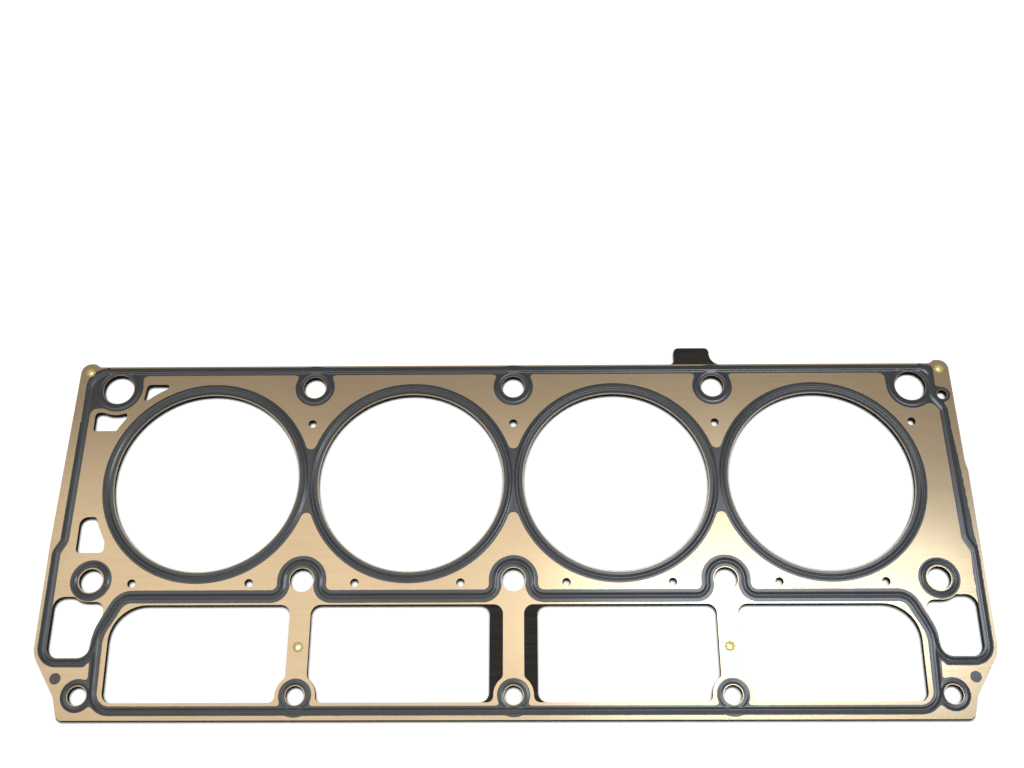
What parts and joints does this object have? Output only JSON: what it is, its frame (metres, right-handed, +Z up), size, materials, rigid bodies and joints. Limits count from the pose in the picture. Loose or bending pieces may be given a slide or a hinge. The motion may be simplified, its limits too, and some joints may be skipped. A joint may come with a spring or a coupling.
{
  "type": "cylinder head gasket",
  "caption": "Flat multi-layer steel gasket that seals a row of cylinder bores, bolt holes and coolant openings between an engine block and its head.",
  "frame": {"origin": "midpoint of the row of cylinder bores, in the middle plane of the core plate", "axes": "+X along the row of bores, +Y towards the long edge with the locating tab, +Z up, towards the cylinder head"},
  "size_m": [0.4964, 0.2045, 0.0036],
  "materials": {
    "bead_sheet": "satin spring steel with a warm clear coat and dark grey printed sealing tracks",
    "core_plate": "dark rubber-coated plain steel",
    "stopper_ring": "bright rolled stainless strip",
    "eyelet": "plain brass, dulled"
  },
  "bodies": {
    "root": {"upper_bead_sheet": "bead_sheet", "core_plate": "core_plate", "lower_bead_sheet": "bead_sheet", "stopper_ring_1": "stopper_ring", "stopper_ring_2": "stopper_ring", "stopper_ring_3": "stopper_ring", "stopper_ring_4": "stopper_ring", "eyelet_corner_left": "eyelet", "eyelet_corner_right": "eyelet", "eyelet_web_left": "eyelet", "eyelet_web_right": "eyelet"}
  },
  "joints": []
}
